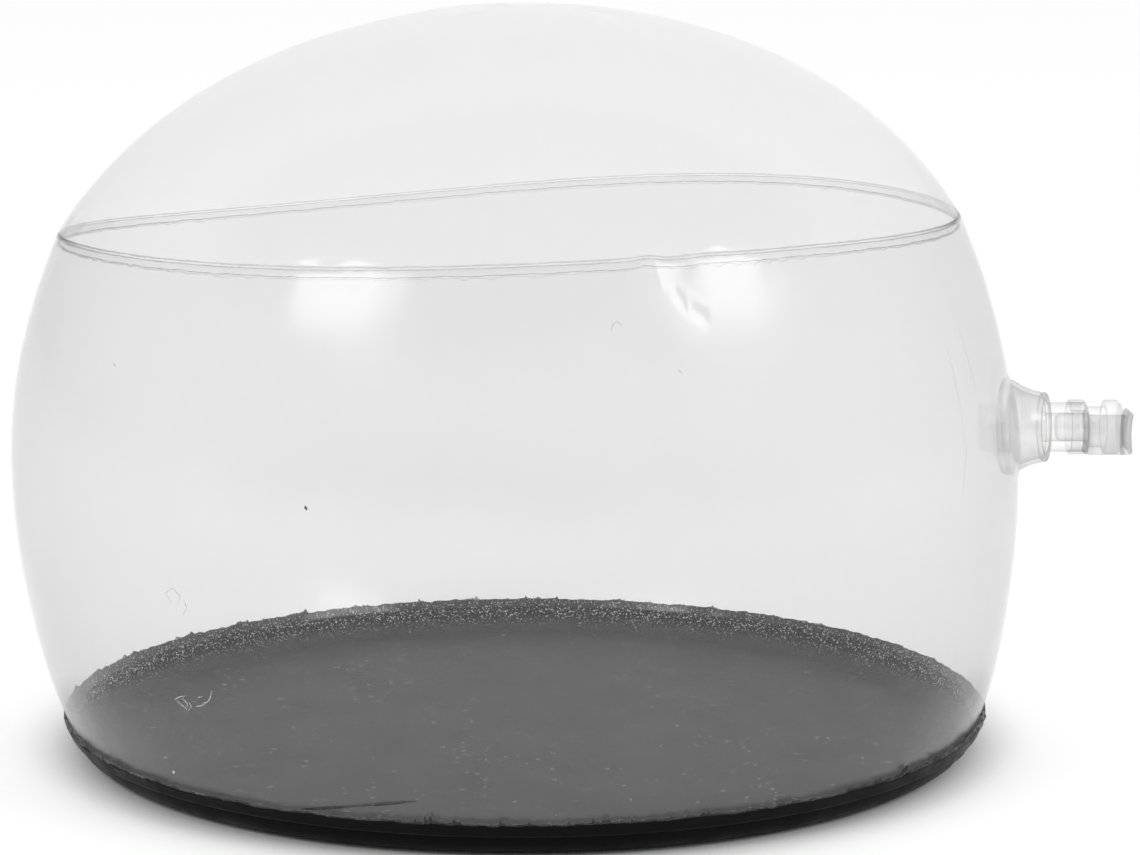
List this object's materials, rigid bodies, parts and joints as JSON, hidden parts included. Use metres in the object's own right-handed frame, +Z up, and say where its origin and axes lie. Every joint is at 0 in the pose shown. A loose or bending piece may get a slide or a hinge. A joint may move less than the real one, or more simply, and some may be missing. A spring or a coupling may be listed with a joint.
{
  "type": "inflatable dome",
  "caption": "Blown-up clear film dome with a barrel-shaped wall, a black base sheet and a soft mouth valve with a strapped stopper in its side.",
  "frame": {"origin": "middle of the flat base, on the surface it rests on", "axes": "+Z up along the dome's axis, +X out along the valve, +Y completes the right-handed frame, away from the stopper's strap"},
  "size_m": [0.2308, 0.2074, 0.1528],
  "materials": {
    "clear_film": "clear, glossy, flexible film",
    "black_film": "semi-gloss film with a fine embossed texture inside",
    "weld": "hazy, melted",
    "valve_plastic": "clear, soft, slightly hazy moulding"
  },
  "bodies": {
    "shell": {"top_panel": "clear_film", "wall_panel": "clear_film", "base_panel": "black_film", "top_seam_flash": "weld", "base_seam_flash": "weld", "valve_flange": "valve_plastic", "valve_weld_bead": "weld", "valve_shoulder": "valve_plastic"},
    "valve_stem": {"valve_stem": "valve_plastic", "strap_ring": "valve_plastic", "stopper_strap": "valve_plastic"},
    "stopper": {"stopper": "valve_plastic"},
    "check_flap": {"check_flap": "valve_plastic"}
  },
  "joints": [
    {"name": "valve_push", "type": "slide", "parent": "shell", "child": "valve_stem", "axis": [-1, 0, 0], "range_m": [0, 0.0125], "deforming": ["valve_shoulder"]},
    {"name": "stopper_pull", "type": "slide", "parent": "valve_stem", "child": "stopper", "axis": [1, 0, 0], "range_m": [0, 0.0075], "deforming": ["stopper_strap"]},
    {"name": "flap_swing", "type": "hinge", "parent": "valve_stem", "child": "check_flap", "pos_m": [0.09714, 0, 0.0698], "axis": [0, 1, 0], "range_deg": [0, 60]}
  ]
}
